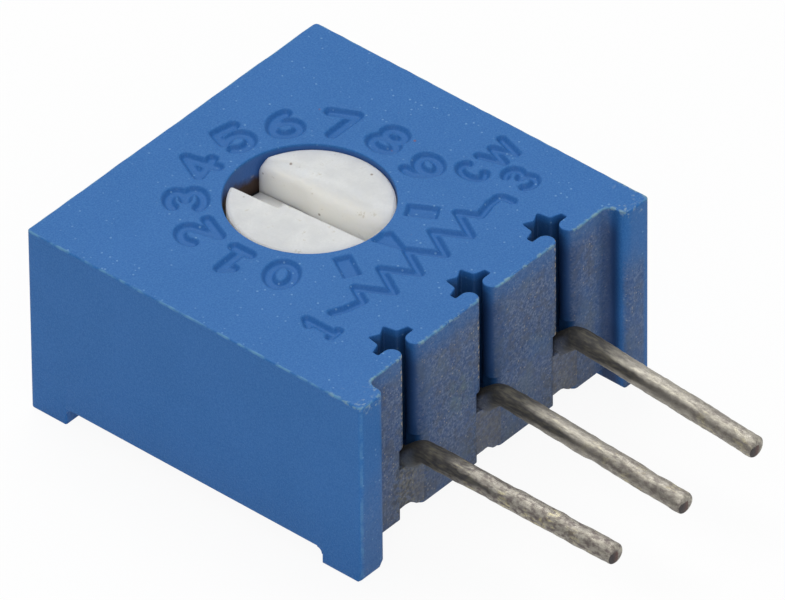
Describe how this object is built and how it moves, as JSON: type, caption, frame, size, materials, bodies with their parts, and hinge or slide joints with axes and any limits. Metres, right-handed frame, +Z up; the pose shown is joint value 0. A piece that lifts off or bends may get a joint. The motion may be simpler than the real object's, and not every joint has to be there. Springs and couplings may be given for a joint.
{
  "type": "trimmer potentiometer",
  "caption": "Square single-turn trimmer potentiometer: blue moulded housing on corner feet, white slotted rotor in its top, and round wire leads in a row out of one side.",
  "frame": {"origin": "centre of the square housing's footprint, on the plane of its four feet", "axes": "+Z up along the rotor's axis; the leads run out towards -Y; +X along the row of leads from end 1 towards end 3, the clockwise end"},
  "size_m": [0.0096, 0.0148, 0.0049],
  "materials": {
    "housing_plastic": "moulded mid-blue thermoplastic, fine-grained, dusty, with worn pale edges",
    "rotor_plastic": "off-white moulded plastic with fine brown specks",
    "seal_rubber": "black silicone rubber",
    "spring_alloy": "bright precious-metal spring sheet",
    "ceramic": null,
    "cermet": "dark fired resistive print",
    "printed_silver": "fired silver print",
    "solder": "smooth grey solder",
    "tinned_wire": "dull tinned wire with dark handling marks, bare metal at the cut end",
    "resin": "sandy-coloured cured epoxy"
  },
  "bodies": {
    "stator": {"housing": "housing_plastic", "substrate": "ceramic", "resistive_track": "cermet", "end_pad_1": "printed_silver", "collector_pad": "printed_silver", "end_pad_3": "printed_silver", "solder_joint_1": "solder", "solder_joint_2": "solder", "solder_joint_3": "solder", "lead_1": "tinned_wire", "lead_2": "tinned_wire", "lead_3": "tinned_wire", "potting": "resin"},
    "rotor_body": {"rotor": "rotor_plastic", "contact_spring": "spring_alloy", "o_ring": "seal_rubber"}
  },
  "joints": [
    {"name": "rotor_turn", "type": "hinge", "parent": "stator", "child": "rotor_body", "pos_m": [0, 0.00081, 0.0048], "axis": [0, 0, 1], "range_deg": [-159, 151]}
  ]
}
